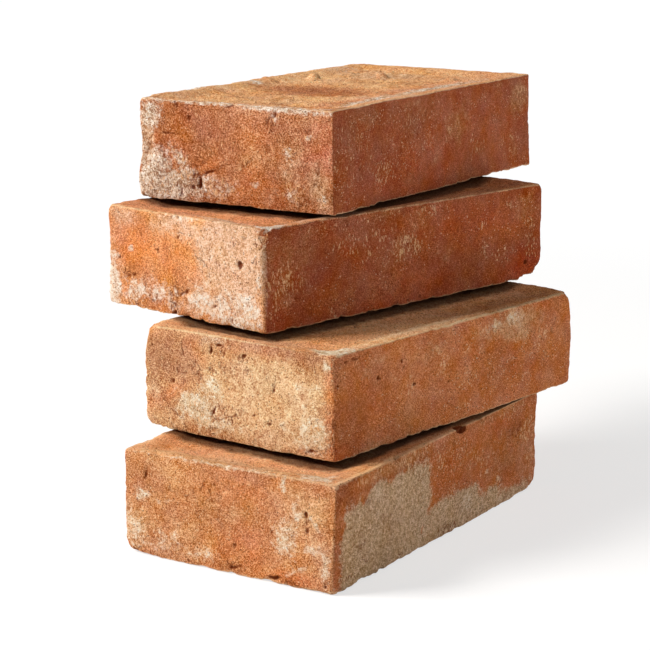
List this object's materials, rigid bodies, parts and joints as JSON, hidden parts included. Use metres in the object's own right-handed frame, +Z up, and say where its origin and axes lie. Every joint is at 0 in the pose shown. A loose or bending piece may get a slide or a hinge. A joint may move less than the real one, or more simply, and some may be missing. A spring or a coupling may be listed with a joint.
{
  "type": "stack of bricks",
  "caption": "Loose stack of solid hand-moulded clay bricks, each laid flat and turned a little on the one below, with worn arrises and lime-stained faces.",
  "frame": {"origin": "middle of the bottom brick's underside, on the surface that the stack stands on", "axes": "+Z up, +Y along the bottom brick's length, towards which the upper bricks are pulled back; the bottom brick's front header faces -Y"},
  "size_m": [0.1959, 0.3338, 0.2202],
  "materials": {
    "clay_bottom": "matte",
    "clay_second": "matte",
    "clay_third": "matte",
    "clay_top": "matte"
  },
  "bodies": {
    "root": {"brick_bottom": "clay_bottom", "brick_second": "clay_second", "brick_third": "clay_third", "brick_top": "clay_top"}
  },
  "joints": []
}
